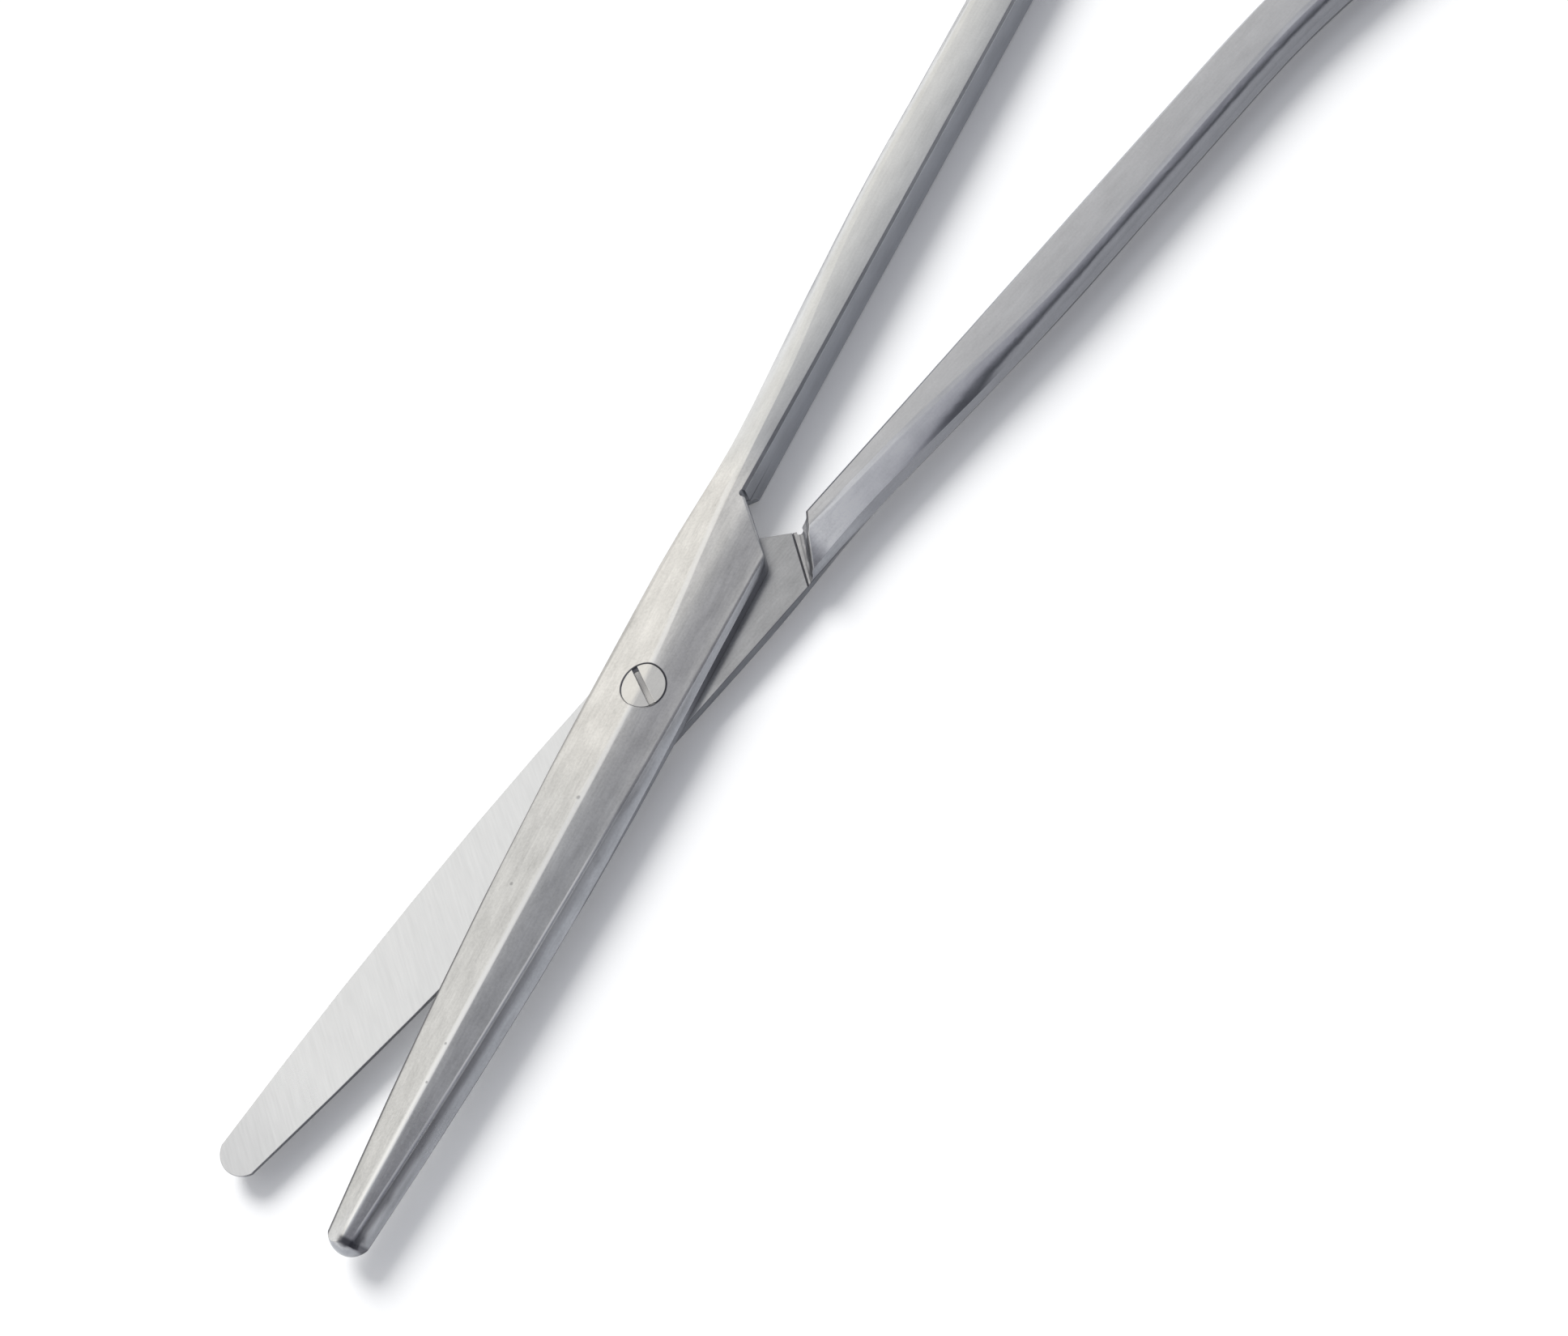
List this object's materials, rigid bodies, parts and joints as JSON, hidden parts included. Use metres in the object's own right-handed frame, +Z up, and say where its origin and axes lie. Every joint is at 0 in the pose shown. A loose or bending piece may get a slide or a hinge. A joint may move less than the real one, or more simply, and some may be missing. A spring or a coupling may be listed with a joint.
{
  "type": "dissecting scissors",
  "caption": "Straight slender surgical scissors: long bevelled blades with blunt tips, a thinned lap joint, a flush slotted pivot screw and oval finger rings.",
  "frame": {"origin": "on the pivot axis, at the table the scissors lie on, where the screw's ground end meets it", "axes": "+X runs midway between the open blades from the pivot to the tips, +Z up along the screw and out of its slotted head, +Y towards the side where the upper blade lies"},
  "size_m": [0.177, 0.0872, 0.0039],
  "materials": {
    "satin_steel": "satin-ground stainless steel, finely brushed along the bevels, ground across on the inner blade faces, polished at the tips",
    "screw_steel": "ground flush with the joint, fine marks across the slot"
  },
  "bodies": {
    "lower_blade": {"lower_half": "satin_steel", "pivot_screw": "screw_steel"},
    "upper_blade": {"upper_half": "satin_steel"}
  },
  "joints": [
    {"name": "pivot", "type": "hinge", "parent": "lower_blade", "child": "upper_blade", "pos_m": [0, 0, 0.00195], "axis": [0, 0, 1], "range_deg": [-14, 76]}
  ]
}
